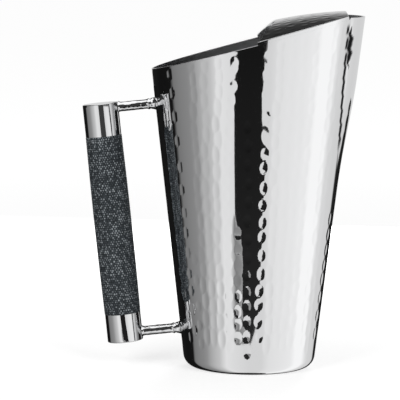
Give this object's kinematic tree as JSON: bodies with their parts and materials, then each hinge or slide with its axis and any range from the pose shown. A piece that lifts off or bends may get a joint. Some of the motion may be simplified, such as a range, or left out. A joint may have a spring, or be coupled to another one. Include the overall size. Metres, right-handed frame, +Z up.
{
  "type": "pitcher",
  "caption": "Tapered hammered steel water pitcher with a slanted mouth, a pulled spout, a domed ice guard and a leather-wrapped tube handle on short rods.",
  "frame": {"origin": "middle of the base's underside, on the surface that the pitcher stands on", "axes": "+Z up, +X towards the spout, -X towards the handle, so the XZ plane is the plane of symmetry"},
  "size_m": [0.1983, 0.147, 0.2526],
  "materials": {
    "hammered_steel": "polished to a mirror over hammer marks",
    "guard_steel": "polished over hammer marks",
    "polished_steel": "smooth mirror polish",
    "plain_steel": "drawn tube, unpolished, hidden in the grip",
    "shagreen_leather": "dark blue-grey pebbled leather with lighter grains"
  },
  "bodies": {
    "root": {"body_wall": "hammered_steel", "base_plate": "hammered_steel", "ice_guard": "guard_steel", "upper_stem": "polished_steel", "lower_stem": "polished_steel", "upper_collar": "polished_steel", "lower_collar": "polished_steel", "core_tube": "plain_steel", "upper_end": "polished_steel", "lower_end": "polished_steel", "upper_disc": "polished_steel", "lower_disc": "polished_steel", "leather_wrap": "shagreen_leather"}
  },
  "joints": []
}
